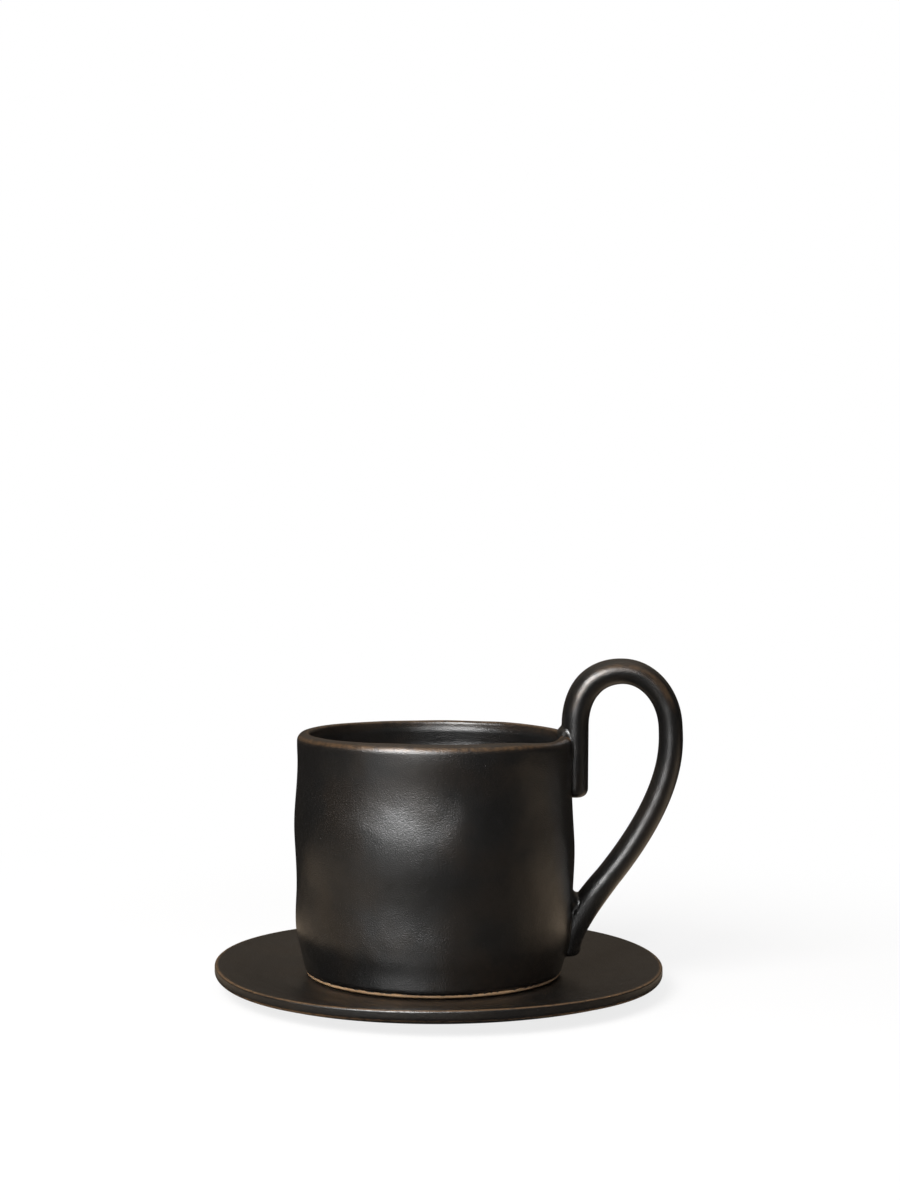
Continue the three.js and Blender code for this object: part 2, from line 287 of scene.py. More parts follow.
def dots(tree, spacing, size, spread):
    """Scattered round dots, 1 at their middle: one to a cell of the spacing, and most cells left empty."""
    cells = add_node(tree, "ShaderNodeTexVoronoi", {"Vector": own_place(tree), "Scale": 1 / spacing})
    chosen = add_node(tree, "ShaderNodeSeparateColor", {"Color": cells.outputs["Color"]})
    near = between(tree, cells.outputs["Distance"], size, size / 3)
    some = between(tree, chosen.outputs["Red"], 1 - spread, 1 - spread + DOT_CHOICE_FADE)
    return combined(tree, "MULTIPLY", near, some)


def black_glaze():
    """Satin black glaze: clouded, faintly rusty, fine grained, with pinholes, brown where it thins and
    where a painted reflection is marked.
    """
    glaze = bpy.data.materials.new("black_glaze")
    glaze.use_nodes = True
    tree = glaze.node_tree
    surface = tree.nodes["Principled BSDF"]
    cloud = speckle(tree, GLAZE_CLOUD, detail=3.0)
    patches = between(tree, speckle(tree, GLAZE_PEEL, detail=4.0), *THIN_PATCHES, THIN_LEAST, 1.0)
    # The stored mark is thinned glaze, together with painted reflection low on the cup wall and under the
    # saucer's edge, all shown in the break's brown.
    thin_and_painted = combined(tree, "MULTIPLY", marked(tree, "thin_glaze_and_painted_reflection"), patches)
    specks = dots(tree, SPECK_SPACING, SPECK_SIZE, SPECK_SPREAD)
    body = blend_colours(tree, between(tree, cloud, *GLAZE_CLOUD_RUST), GLAZE_BLACK, GLAZE_RUST)
    body = blend_colours(tree, specks, body, GLAZE_SPECK)
    body = blend_colours(tree, thin_and_painted, body, GLAZE_BREAK_AND_PAINTED_REFLECTION)
    pats = speckle(tree, GLAZE_PAT, detail=1.0)
    peel = speckle(tree, GLAZE_PEEL, detail=2.0)
    grain = speckle(tree, GLAZE_GRAIN, detail=1.0)
    pinholes = dots(tree, PINHOLE_SPACING, PINHOLE_SIZE, PINHOLE_SPREAD)
    skin = relief(tree, pats, 1.0, GLAZE_PAT_DEPTH)
    skin = relief(tree, peel, GLAZE_PEEL_STRENGTH, GLAZE_PEEL_DEPTH, under=skin)
    skin = relief(tree, grain, 1.0, GLAZE_GRAIN_DEPTH, under=skin)
    skin = relief(tree, pinholes, PINHOLE_STRENGTH, PINHOLE_DEPTH, under=skin, sunk=True)
    feed(tree, surface.inputs["Base Color"], body)
    feed(tree, surface.inputs["Roughness"], between(tree, cloud, *GLAZE_CLOUD_GLOSS, *GLAZE_ROUGHNESS))
    surface.inputs["Specular IOR Level"].default_value = GLAZE_UNDER_GLOSS
    surface.inputs["Coat Weight"].default_value = GLAZE_COAT
    surface.inputs["Coat Roughness"].default_value = GLAZE_COAT_ROUGHNESS
    feed(tree, surface.inputs["Normal"], skin)
    feed(tree, surface.inputs["Coat Normal"], skin)
    return glaze


plate_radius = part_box("saucer_plate")[1].x
seat_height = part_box("cup_foot_ring")[0].z
plate_crest = seat_height + PLATE_LIP_RISE
under_edge = plate_crest - PLATE_EDGE_HEIGHT
under_corner = (plate_radius - PLATE_BOTTOM_ROUND, under_edge + PLATE_BOTTOM_ROUND)
top_corner = (plate_radius - PLATE_TOP_ROUND, plate_crest - PLATE_TOP_ROUND)
plate_outline = [(0, foot_high.z), (foot_radius / 2, foot_high.z)]
for i in range(PLATE_UNDER_STEPS + 1):
    along = i / PLATE_UNDER_STEPS
    plate_outline.append((
        foot_radius + (under_corner[0] - foot_radius) * along,
        foot_high.z + (under_edge - foot_high.z) * along ** 2,
    ))
plate_outline += arc(
    under_corner, (PLATE_BOTTOM_ROUND, PLATE_BOTTOM_ROUND), -90, 0, PLATE_ROUND_STEPS)[1:]
plate_outline += arc(top_corner, (PLATE_TOP_ROUND, PLATE_TOP_ROUND), 0, 90, PLATE_ROUND_STEPS)
for i in range(1, PLATE_SLOPE_STEPS + 1):
    along = i / PLATE_SLOPE_STEPS
    plate_outline.append((
        top_corner[0] + (WELL_RADIUS - top_corner[0]) * along,
        plate_crest + (seat_height - plate_crest) * along ** 2 * (3 - 2 * along),
    ))
for i in range(1, WELL_STEPS):
    plate_outline.append((WELL_RADIUS * (1 - i / WELL_STEPS), seat_height))
plate_outline.append((0, seat_height))


def wandering_lip(radius, angle, height):
    towards_lip = smooth_step(radius, foot_radius, plate_radius)
    warp = LIP_WARP * math.cos(LIP_WARP_WAVES * (angle - math.radians(LIP_WARP_TURN)))
    on_top = 1 if height > seat_height - PLATE_TOP_SLACK and radius < top_corner[0] else 0
    rings = PLATE_RING_DEPTH * math.cos(2 * math.pi * radius / PLATE_RING_PITCH)
    return radius, height + warp * towards_lip - on_top * (PLATE_RING_DEPTH + rings)


def plate_edge_thinness_and_painted_reflection(place):
    reach = math.hypot(place.x, place.y)
    edge_line = 1 - smooth_step(abs(reach - top_corner[0] - EDGE_LINE_OUT), *EDGE_LINE_FADE)
    upper = smooth_step(place.z, *(plate_crest - depth for depth in EDGE_LINE_DEPTH))
    # The under-edge line: partly thinned glaze, partly painted reflection of the lit table, stronger
    # towards the left and right than at the front and back.
    under_line = 1 - smooth_step(abs(reach - under_corner[0] - UNDER_LINE_OUT), *UNDER_LINE_FADE)
    under = smooth_step(place.z, *(under_edge + rise for rise in UNDER_LINE_RISE))
    under_line_weight = UNDER_LINE_FRONT_SHARE + UNDER_LINE_SIDE_GAIN * smooth_step(abs(place.x), *UNDER_LINE_SIDE_REACH)
    return max(edge_line * upper, under_line_weight * under_line * under)


saucer_plate = turned("saucer_plate_glazed", plate_outline, SAUCER_SIDES)
formed(saucer_plate, wandering_lip)
mark_points(saucer_plate, "thin_glaze_and_painted_reflection", plate_edge_thinness_and_painted_reflection)
glaze = black_glaze()
saucer_plate.data.materials.append(glaze)
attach(saucer_plate, "saucer")
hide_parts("saucer_plate")


# Cup foot ring: the bare band of clay that the cup stands on, seen as a thin buff line above the saucer,
# with its lower edge cut back into shadow. It is luted under the wall and the floor, and was sponged
# clean after dipping, up to the ragged edge of the glaze.
WALL_THICKNESS = 4.4 * MM
RING_WIDTH = 7 * MM
RING_EDGE_ROUND = 0.35 * MM
RING_EDGE_STEPS = 8
RING_STEP_DEPTH = 2.2 * MM
RING_STEP_HEIGHT = 0.6 * MM
RING_GLAZE_LINE = 1.65 * MM
RING_LUTE = 0.05 * MM
CUP_SIDES = 240


def stand_on_seat(piece):
    """Moves a piece turned about the middle of the saucer to the cup's own place on it."""
    bpy.ops.object.select_all(action="DESELECT")
    piece.select_set(True)
    bpy.context.view_layer.objects.active = piece
    bpy.ops.object.mode_set(mode="EDIT")
    bpy.ops.mesh.select_all(action="SELECT")
    bpy.ops.transform.translate(value=(cup_axis.x, cup_axis.y, seat_height))
    bpy.ops.object.mode_set(mode="OBJECT")


def under_glaze_edge(place):
    return 1 if place.z > seat_height + RING_GLAZE_LINE - 2 * RING_LUTE else 0


ring_low, ring_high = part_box("cup_foot_ring")
cup_axis = (ring_low + ring_high) / 2
ring_height = ring_high.z - ring_low.z
ring_radius = (ring_high.x - ring_low.x) / 2
ring_outline = [
    (ring_radius - RING_WIDTH, 0),
    (ring_radius - RING_STEP_DEPTH, 0),
    (ring_radius - RING_STEP_DEPTH, RING_STEP_HEIGHT),
]
ring_outline += arc(
    (ring_radius - RING_EDGE_ROUND, RING_STEP_HEIGHT + RING_EDGE_ROUND),
    (RING_EDGE_ROUND, RING_EDGE_ROUND), -90, 0, RING_EDGE_STEPS)
ring_outline += [
    (ring_radius, RING_GLAZE_LINE - RING_LUTE),
    (ring_radius - WALL_THICKNESS, ring_height - RING_LUTE),
    (ring_radius - RING_WIDTH, ring_height - RING_LUTE),
    (ring_radius - RING_WIDTH, 0),
]
cup_foot = turned("cup_foot_ring_bare", ring_outline, CUP_SIDES)
stand_on_seat(cup_foot)
mark_points(cup_foot, "glaze_lap", under_glaze_edge)
cup_foot.data.materials.append(clay)
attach(cup_foot, "cup")
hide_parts("cup_foot_ring")


# Cup floor: the disc of clay that closes the cup, glazed inside like the wall. It is dished a little,
# and its edge is smeared up into the wall in a cove, so that no corner is left.
FLOOR_COVE = 7 * MM
FLOOR_COVE_STEPS = 14
FLOOR_FEATHER = 0.9 * MM
FLOOR_DISH = 0.6 * MM
FLOOR_DISH_STEPS = 24
CUP_RADIUS = 43.5 * MM
CUP_HEIGHT = 75.6 * MM
BASE_INSET = 3.6 * MM
TAPER_HEIGHT = 24 * MM
BELLY_HEIGHT = 44.6 * MM
MOUTH_INSET = 0.5 * MM


def outer_radius(height):
    """Radius of the cup's outside at a height above the plane that it stands on."""
    taper = max(0, 1 - (height - ring_height) / TAPER_HEIGHT)
    closing = max(0, (height - BELLY_HEIGHT) / (CUP_HEIGHT - BELLY_HEIGHT))
    return CUP_RADIUS - BASE_INSET * taper ** 2 - MOUTH_INSET * closing ** 2


floor_low, floor_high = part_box("cup_floor")
floor_radius = (floor_high.x - floor_low.x) / 2
floor_top = floor_high.z - seat_height
cove_top = floor_top + FLOOR_COVE
cove_edge = outer_radius(cove_top) - WALL_THICKNESS + FLOOR_FEATHER
dish_radius = cove_edge - FLOOR_COVE - FLOOR_FEATHER
floor_outline = [(0, ring_height), (floor_radius, ring_height), (cove_edge, cove_top)]
floor_outline += arc(
    (dish_radius, cove_top), (FLOOR_COVE + FLOOR_FEATHER / 2, FLOOR_COVE), 0, -90, FLOOR_COVE_STEPS)
for i in range(1, FLOOR_DISH_STEPS):
    along = 1 - i / FLOOR_DISH_STEPS
    floor_outline.append((dish_radius * along, floor_top - FLOOR_DISH * (1 - along ** 2) / 2))
floor_outline.append((0, floor_top - FLOOR_DISH / 2))
cup_floor = turned("cup_floor_glazed", floor_outline, CUP_SIDES)
stand_on_seat(cup_floor)
cup_floor.data.materials.append(glaze)
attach(cup_floor, "cup")
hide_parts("cup_floor")


# Cup wall: one thick slab of stoneware, formed by hand, so that it swells and falls in, leans, and dips
# beside the handle. It is luted to the floor, has a soft round lip, and is glazed inside and out down to
# the foot. The glaze is thinnest on the lip. Low down towards the handle's side, the wall carries a faint
# brown painted reflection, which brightens it there.
RIPPLE_DEPTH = 0.45 * MM
RIPPLE_PITCH = 36 * MM
RIPPLE_CREST = 42 * MM
RIPPLE_LEAN = 4.5 * MM
RIPPLE_FADE = 9 * MM
RIPPLE_SWELL = 0.8
RIPPLE_SWELL_TURN = -104
RIPPLE_SWELL_WIDTH = 34
RIPPLE_CALM = 0.6
RIPPLE_CALM_TURN = -35
RIPPLE_CALM_WIDTH = 32
RIM_DIP = 1.2 * MM
RIM_DIP_TURN = -27
RIM_DIP_WIDTH = 18
RIM_DIP_HEIGHT = 22 * MM
LIP_OUTER_ROUND = 2.8 * MM
LIP_OUTER_STEPS = 14
LIP_INNER_ROUND = 1.2 * MM
LIP_INNER_STEPS = 8
LIP_RELIEF = 0.42 * MM
LIP_RELIEF_DEPTH = (1.5 * MM, 3.7 * MM)
INSIDE_WAVE_DEPTH = 0.10 * MM
INSIDE_WAVE_PITCH = 8.5 * MM
INSIDE_WAVE_START = 1.5 * MM
INSIDE_WAVE_DEPTHS = (4 * MM, 8 * MM)
THUMB_DEPTH = 0.45 * MM
THUMB_SPREAD = 21 * MM
WALL_LEVELS = 44
INSIDE_LEVELS = 180
LIP_THIN = 0.08
LIP_THIN_DEPTH = (3.2 * MM, 1.4 * MM)
INNER_LINE_THIN = 0.5
INNER_LINE_IN = 0.4 * MM
INNER_LINE_FADE = (0.1 * MM, 0.8 * MM)
OUTER_LINE_THIN = 0.4
OUTER_LINE_OUT = (0.8 * MM, 1.8 * MM)
OUTER_LINE_DEPTH = 1.3 * MM
OUTER_LINE_FADE = (0.2 * MM, 0.8 * MM)
# Painted reflection: a faint brown low on the wall, towards the handle's side, which brightens it there.
LOW_WALL_PAINTED_REFLECTION = 0.06
LOW_WALL_REFLECTION_HEIGHT = (18 * MM, 6 * MM)
LOW_WALL_REFLECTION_SIDE = (-15 * MM, 30 * MM)


def near_turn(angle, turn, width):
    """1 at a turn about the cup's axis, in degrees, falling away over a width to either side."""
    return math.exp(-((math.degrees(angle) - turn) / width) ** 2)


def hand_formed(radius, angle, height):
    crest = RIPPLE_CREST - RIPPLE_LEAN * math.cos(angle)
    wave = math.cos(2 * math.pi * (height - crest) / RIPPLE_PITCH)
    low = smooth_step(height, floor_top, floor_top + RIPPLE_FADE)
    high = 1 - smooth_step(height, CUP_HEIGHT - RIPPLE_FADE, CUP_HEIGHT)
    swell = 1 + RIPPLE_SWELL * near_turn(angle, RIPPLE_SWELL_TURN, RIPPLE_SWELL_WIDTH)
    swell -= RIPPLE_CALM * near_turn(angle, RIPPLE_CALM_TURN, RIPPLE_CALM_WIDTH)
    sunk = smooth_step(height, CUP_HEIGHT - RIM_DIP_HEIGHT, CUP_HEIGHT)
    dip = RIM_DIP * near_turn(angle, RIM_DIP_TURN, RIM_DIP_WIDTH) * sunk
    return radius + RIPPLE_DEPTH * swell * wave * low * high, height - dip


def inside_radius(height):
    """Radius of the cup's inside: a finger drew the lip thin above a low ridge, and left waves below."""
    depth = CUP_HEIGHT - height
    drawn = LIP_RELIEF * (1 - smooth_step(depth, *LIP_RELIEF_DEPTH))
    settled = smooth_step(depth, *INSIDE_WAVE_DEPTHS)
    wave = math.cos(2 * math.pi * (depth + INSIDE_WAVE_START) / INSIDE_WAVE_PITCH)
    return outer_radius(height) - WALL_THICKNESS + drawn + INSIDE_WAVE_DEPTH * settled * wave


def wall_thinness_and_painted_reflection(place):
    reach = math.hypot(place.x - cup_axis.x, place.y - cup_axis.y)
    height = place.z - seat_height
    inner_edge = lip_crest_radius - INNER_LINE_IN
    on_lip = smooth_step(height, *(CUP_HEIGHT - depth for depth in LIP_THIN_DEPTH))
    inner_line = 1 - smooth_step(abs(reach - inner_edge), *INNER_LINE_FADE)
    outside = smooth_step(reach, *(inner_edge + out for out in OUTER_LINE_OUT))
    outer_line = 1 - smooth_step(abs(CUP_HEIGHT - height - OUTER_LINE_DEPTH), *OUTER_LINE_FADE)
    # Low on the wall towards the handle's side: painted reflection in faint brown, not thinned glaze.
    low_wall_reflection = smooth_step(height, *LOW_WALL_REFLECTION_HEIGHT) * smooth_step(place.x, *LOW_WALL_REFLECTION_SIDE)
    lip = LIP_THIN + INNER_LINE_THIN * inner_line + OUTER_LINE_THIN * outside * outer_line
    return on_lip * lip + LOW_WALL_PAINTED_REFLECTION * low_wall_reflection


lip_start = CUP_HEIGHT - LIP_OUTER_ROUND
lip_reach = WALL_THICKNESS - LIP_RELIEF - LIP_INNER_ROUND
lip_crest_radius = outer_radius(lip_start) - lip_reach
inside_top = CUP_HEIGHT - LIP_INNER_ROUND
wall_outline = []
for i in range(WALL_LEVELS):
    height = RING_GLAZE_LINE + (lip_start - RING_GLAZE_LINE) * i / WALL_LEVELS
    wall_outline.append((outer_radius(height), height))
wall_outline += arc(
    (lip_crest_radius, lip_start), (lip_reach, LIP_OUTER_ROUND), 0, 90, LIP_OUTER_STEPS)
wall_outline += arc(
    (lip_crest_radius, inside_top), (LIP_INNER_ROUND, LIP_INNER_ROUND), 90, 180, LIP_INNER_STEPS)[1:]
for i in range(1, INSIDE_LEVELS + 1):
    height = inside_top + (ring_height - inside_top) * i / INSIDE_LEVELS
    wall_outline.append((inside_radius(height), height))
wall_outline.append(wall_outline[0])
cup_wall = turned("cup_wall_glazed", wall_outline, CUP_SIDES)
formed(cup_wall, hand_formed)
stand_on_seat(cup_wall)
thumb_marks = bpy.data.textures.new("thumb_marks", "CLOUDS")
thumb_marks.noise_scale = THUMB_SPREAD
thumb_marks.noise_depth = 1
kneaded = cup_wall.modifiers.new("thumb_marks", "DISPLACE")
kneaded.texture = thumb_marks
kneaded.texture_coords = "LOCAL"
kneaded.strength = THUMB_DEPTH
bpy.ops.object.modifier_apply(modifier=kneaded.name)
mark_points(cup_wall, "thin_glaze_and_painted_reflection", wall_thinness_and_painted_reflection)
cup_wall.data.materials.append(glaze)
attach(cup_wall, "cup")
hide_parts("cup_wall")


# Handle: one rolled coil of glazed stoneware, pressed a little oval. Its short end is luted to the wall
# under the rim. It loops up over the rim and comes down in a long limb, whose narrow tail is smeared on
# the wall low down.
COIL_RADIUS = 4 * MM
COIL_OVAL = 1.5
COIL_STEPS = 28
COIL_ROUNDNESS = 10
COIL_END_STEPS = 6
TAIL_OVAL = 0.95
GRIP_HEIGHT = 36 * MM
HANDLE_TURN = -2
ARCH_HALF_WIDTH = 14.7 * MM
ARCH_HEIGHT = 17.2 * MM
ARCH_RISE = 2.2 * MM
ARCH_SHOULDER = 1.035
ROUND_PULL = 0.5523
HALF_ROUND_PULL = 0.2652
END_PULL = 1 * MM
STUB_LENGTH = 20 * MM
STUB_PROUD = 0.6 * MM
STUB_PULL = 6 * MM
STUB_END_ROUND = 2.6 * MM
LIMB_SWING = 0.35 * MM
LIMB_LEAN = 2.5
LIMB_START_PULL = 6.2 * MM
LIMB_END_PULL = 34.1 * MM
LANDING_HEIGHT = 30.4 * MM
LANDING_STANDOFF = 10.75 * MM
LANDING_SLOPE = 38.2
TAIL_HEIGHT = 5.8 * MM
TAIL_PROUD = -0.5 * MM
TAIL_LEAN = 3
TAIL_START_PULL = 4 * MM
TAIL_END_PULL = 6.6 * MM
TAIL_END_ROUND = 2.2 * MM
STUB_THICKNESS = 1.05
SPRING_THICKNESS = 1.06
SHOULDER_THICKNESS = 1.09
CROWN_THICKNESS = 1.0
LIMB_THICKNESS = 0.94
LANDING_THICKNESS = 1.0
TAIL_THICKNESS = 1.22
CREST_THIN = 0.32
CREST_LINE = 1.6 * MM
CREST_LINE_FADE = (0.3 * MM, 1.1 * MM)
CREST_RISE = (3 * MM, 9 * MM)


def leaning(degrees, length):
    """A step of a length in the handle's plane, leaning out from upright by so many degrees."""
    return Vector((math.sin(math.radians(degrees)), math.cos(math.radians(degrees)))) * length


def beside_cup(across, height):
    """A point in the handle's plane, by its distance from the cup's axis and its height on the cup."""
    turn = math.radians(HANDLE_TURN)
    return Vector((
        cup_axis.x + across * math.cos(turn),
        cup_axis.y + across * math.sin(turn),
        seat_height + height,
    ))


stub_end = CUP_HEIGHT - STUB_LENGTH
stub_tip = stub_end + STUB_END_ROUND
stub_radius = outer_radius((stub_end + CUP_HEIGHT) / 2) + STUB_PROUD
spring = CUP_HEIGHT + ARCH_RISE
arch_top = spring + ARCH_HEIGHT
arch_pull = ROUND_PULL * ARCH_HEIGHT
crown = stub_radius + ARCH_HALF_WIDTH
crown_pull = ROUND_PULL * ARCH_HALF_WIDTH
half_pull = HALF_ROUND_PULL / ROUND_PULL
shoulder = Vector((ARCH_HALF_WIDTH, ARCH_HEIGHT)) * math.sqrt(0.5) * ARCH_SHOULDER
limb_start = Vector((stub_radius + 2 * ARCH_HALF_WIDTH + LIMB_SWING, spring))
landing = Vector((outer_radius(LANDING_HEIGHT) + LANDING_STANDOFF, LANDING_HEIGHT))
tail_height = TAIL_HEIGHT + TAIL_END_ROUND
tail = Vector((outer_radius(tail_height) + TAIL_PROUD, tail_height))
tail_way = leaning(TAIL_LEAN, -1)
coil_stations = [
    # for each station along the coil: the pull before it, its place, the pull after it and its thickness
    (
        (stub_radius, stub_tip - END_PULL),
        (stub_radius, stub_tip),
        (stub_radius, stub_tip + STUB_PULL),
        STUB_THICKNESS,
    ),
    (
        (stub_radius, spring - STUB_PULL),
        (stub_radius, spring),
        (stub_radius, spring + half_pull * arch_pull),
        SPRING_THICKNESS,
    ),
    (
        (crown - shoulder.x * (1 + HALF_ROUND_PULL), spring + shoulder.y * (1 - HALF_ROUND_PULL)),
        (crown - shoulder.x, spring + shoulder.y),
        (crown - shoulder.x * (1 - HALF_ROUND_PULL), spring + shoulder.y * (1 + HALF_ROUND_PULL)),
        SHOULDER_THICKNESS,
    ),
    (
        (crown - half_pull * crown_pull, arch_top),
        (crown, arch_top),
        (crown + crown_pull, arch_top),
        CROWN_THICKNESS,
    ),
    (
        limb_start + leaning(-LIMB_LEAN, arch_pull),
        limb_start,
        limb_start - leaning(-LIMB_LEAN, LIMB_START_PULL),
        LIMB_THICKNESS,
    ),
    (
        landing + leaning(LANDING_SLOPE, LIMB_END_PULL),
        landing,
        landing - leaning(LANDING_SLOPE, TAIL_START_PULL),
        LANDING_THICKNESS,
    ),
    (
        tail + leaning(TAIL_LEAN, TAIL_END_PULL),
        tail,
        tail - leaning(TAIL_LEAN, END_PULL),
        TAIL_THICKNESS,
    ),
]
bpy.ops.object.select_all(action="DESELECT")
bpy.ops.curve.primitive_bezier_curve_add()
handle = bpy.context.object
handle.name = handle.data.name = "handle_coil_glazed"
coil = handle.data.splines[0]
coil.bezier_points.add(len(coil_stations) - len(coil.bezier_points))
for point, (before, at, after, thickness) in zip(coil.bezier_points, coil_stations):
    point.handle_left_type = point.handle_right_type = "FREE"
    point.co = (at[0], 0, at[1])
    point.handle_left = (before[0], 0, before[1])
    point.handle_right = (after[0], 0, after[1])
    point.radius = thickness
coil.resolution_u = COIL_STEPS
handle.data.bevel_depth = COIL_RADIUS
handle.data.bevel_resolution = COIL_ROUNDNESS
handle.data.dimensions = "3D"
bpy.ops.object.convert(target="MESH")
handle = bpy.context.object
bpy.ops.object.mode_set(mode="EDIT")
bpy.ops.mesh.select_all(action="SELECT")
bpy.ops.mesh.remove_doubles(threshold=WELD)
bpy.ops.mesh.fill_holes(sides=0)
bpy.ops.mesh.normals_make_consistent(inside=False)
bpy.ops.object.mode_set(mode="OBJECT")


def round_coil_end(middle, away, half_width, rounding):
    """Draws the cap at one end of the coil out along its way, and in round its edge."""
    bpy.ops.object.mode_set(mode="EDIT")
    bpy.ops.mesh.select_mode(type="FACE")
    bpy.ops.mesh.select_all(action="DESELECT")
    bpy.ops.object.mode_set(mode="OBJECT")
    caps = [face for face in handle.data.polygons if len(face.vertices) > 4]
    min(caps, key=lambda face: (face.center - middle).length).select = True
    bpy.ops.object.mode_set(mode="EDIT")
    drawn = 0
    width = half_width
    for i in range(1, COIL_END_STEPS + 1):
        turn = math.pi / 2 * i / COIL_END_STEPS
        further = rounding * math.sin(turn)
        narrower = half_width - rounding * (1 - math.cos(turn))
        bpy.ops.mesh.extrude_region_move(TRANSFORM_OT_translate={"value": away * (further - drawn)})
        bpy.ops.transform.resize(value=(narrower / width,) * 3, center_override=middle + away * further)
        drawn = further
        width = narrower
    bpy.ops.object.mode_set(mode="OBJECT")


round_coil_end(
    Vector((stub_radius, 0, stub_tip)), Vector((0, 0, -1)),
    COIL_RADIUS * STUB_THICKNESS, STUB_END_ROUND)
round_coil_end(
    Vector((tail.x, 0, tail.y)), Vector((tail_way.x, 0, tail_way.y)),
    COIL_RADIUS * TAIL_THICKNESS, TAIL_END_ROUND)
for vertex in handle.data.vertices:
    grip = smooth_step(vertex.co.z, TAIL_HEIGHT, GRIP_HEIGHT)
    vertex.co.y *= TAIL_OVAL + (COIL_OVAL - TAIL_OVAL) * grip
bpy.ops.object.mode_set(mode="EDIT")
bpy.ops.mesh.select_all(action="SELECT")
bpy.ops.transform.rotate(value=-math.radians(HANDLE_TURN), orient_axis="Z", center_override=(0, 0, 0))
bpy.ops.transform.translate(value=(cup_axis.x, cup_axis.y, seat_height))
bpy.ops.object.mode_set(mode="OBJECT")
bpy.ops.object.shade_smooth()
outwards = beside_cup(1, 0) - beside_cup(0, 0)


def crest_thinness(place):
    across = (place - beside_cup(0, 0)).dot(outwards) - crown
    above = (place.z - seat_height - spring) * ARCH_HALF_WIDTH / ARCH_HEIGHT
    on_arch = smooth_step(above, *CREST_RISE)
    off_line = abs(math.hypot(across, above) - ARCH_HALF_WIDTH - CREST_LINE)
    return CREST_THIN * on_arch * (1 - smooth_step(off_line, *CREST_LINE_FADE))


mark_points(handle, "thin_glaze_and_painted_reflection", crest_thinness)
handle.data.materials.append(glaze)
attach(handle, "cup")
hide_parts("handle_coil")


# Rim wad: a pinch of clay pressed into the corner where the coil passes the rim, and smoothed
# with a wet finger into both. It is glazed over with the rest.
WAD_REACH = 1.9 * MM
WAD_SIZE = (2.4 * MM, 6.4 * MM, 2.6 * MM)
WAD_SINK = 0.4 * MM
WAD_UNDER = 0.1 * MM
WAD_SPREAD = (11 * MM, 10.5 * MM, 7.5 * MM)
WAD_BALL_DETAIL = 4
WAD_GRAIN = 0.28 * MM
WAD_STROKES = 90
WAD_STROKE_SHARE = 0.5


def cut_away(point, direction):
    """Cuts off what lies beyond a plane, and closes the cut."""
    bpy.ops.mesh.select_all(action="SELECT")
    bpy.ops.mesh.bisect(plane_co=point, plane_no=direction, use_fill=True, clear_outer=True)


def press_wad(name, across, height, size, spread, below):
    """A ball of clay pressed on coil and wall at a place in the handle's plane, then stroked smooth.

    A cut of coil and wall just under their skins is taken with it, so that it runs out into both.
    """
    bpy.ops.object.select_all(action="DESELECT")
    cup_wall.select_set(True)
    handle.select_set(True)
    bpy.context.view_layer.objects.active = handle
    bpy.ops.object.duplicate()
    bpy.ops.object.join()
    wad = bpy.context.object
    wad.name = wad.data.name = name
    middle = beside_cup(across, height)
    sideways = Vector((-outwards.y, outwards.x, 0))
    upwards = Vector((0, 0, 1))
    bpy.ops.object.mode_set(mode="EDIT")
    bpy.ops.mesh.select_all(action="SELECT")
    bpy.ops.transform.shrink_fatten(value=-WAD_UNDER)
    for direction, reach in (
        (outwards, spread[0]), (-outwards, spread[0]),
        (sideways, spread[1]), (-sideways, spread[1]),
        (upwards, spread[2]), (-upwards, below),
    ):
        cut_away(middle + direction * reach, direction)
    bpy.ops.mesh.select_all(action="DESELECT")
    bpy.ops.mesh.primitive_ico_sphere_add(subdivisions=WAD_BALL_DETAIL, radius=1, location=(0, 0, 0))
    bpy.ops.transform.resize(value=size, center_override=(0, 0, 0))
    bpy.ops.transform.rotate(value=-math.radians(HANDLE_TURN), orient_axis="Z", center_override=(0, 0, 0))
    bpy.ops.transform.translate(value=middle)
    bpy.ops.object.mode_set(mode="OBJECT")
    wad.data.remesh_voxel_size = WAD_GRAIN
    bpy.ops.object.voxel_remesh()
    stroked = wad.modifiers.new("stroked", "SMOOTH")
    stroked.factor = WAD_STROKE_SHARE
    stroked.iterations = WAD_STROKES
    bpy.ops.object.modifier_apply(modifier=stroked.name)
    bpy.ops.object.shade_smooth()
    return wad


rim_wad = press_wad(
    "handle_rim_wad_glazed", stub_radius - COIL_RADIUS - WAD_REACH + WAD_SIZE[0], CUP_HEIGHT - WAD_SINK,
    WAD_SIZE, WAD_SPREAD, WAD_SPREAD[2])
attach(rim_wad, "cup")
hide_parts("handle_rim_wad")


# Crotch wad: a web of clay pressed into the corner where the coil's upper side runs down into the
# wall, which strengthens the lower joint. It is glazed over with the rest.
WEB_SIZE = (2.4 * MM, 5.2 * MM, 3 * MM)
WEB_SPREAD = (8 * MM, 9 * MM, 8 * MM)
web_low, web_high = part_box("handle_crotch_wad")
web_height = (web_low.z + web_high.z) / 2 - seat_height
crotch_wad = press_wad(
    "handle_crotch_wad_glazed", outer_radius(web_height), web_height,
    WEB_SIZE, WEB_SPREAD, web_height - TAIL_HEIGHT / 2)
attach(crotch_wad, "cup")
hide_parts("handle_crotch_wad")


# Floor: a plain pale surface that takes the saucer's shadow. To the lens and in reflections it is
# nearly white, with the shadow kept in it.
FLOOR_SIZE = 8
FLOOR_PAINT = (0.62, 0.61, 0.60, 1)
FLOOR_SHADOW_SHARE = 0.3
FLOOR_WHITE = 1.15
FLOOR_SHADOW_REACH = (0.12, 0.32)
WHITE = (1, 1, 1, 1)


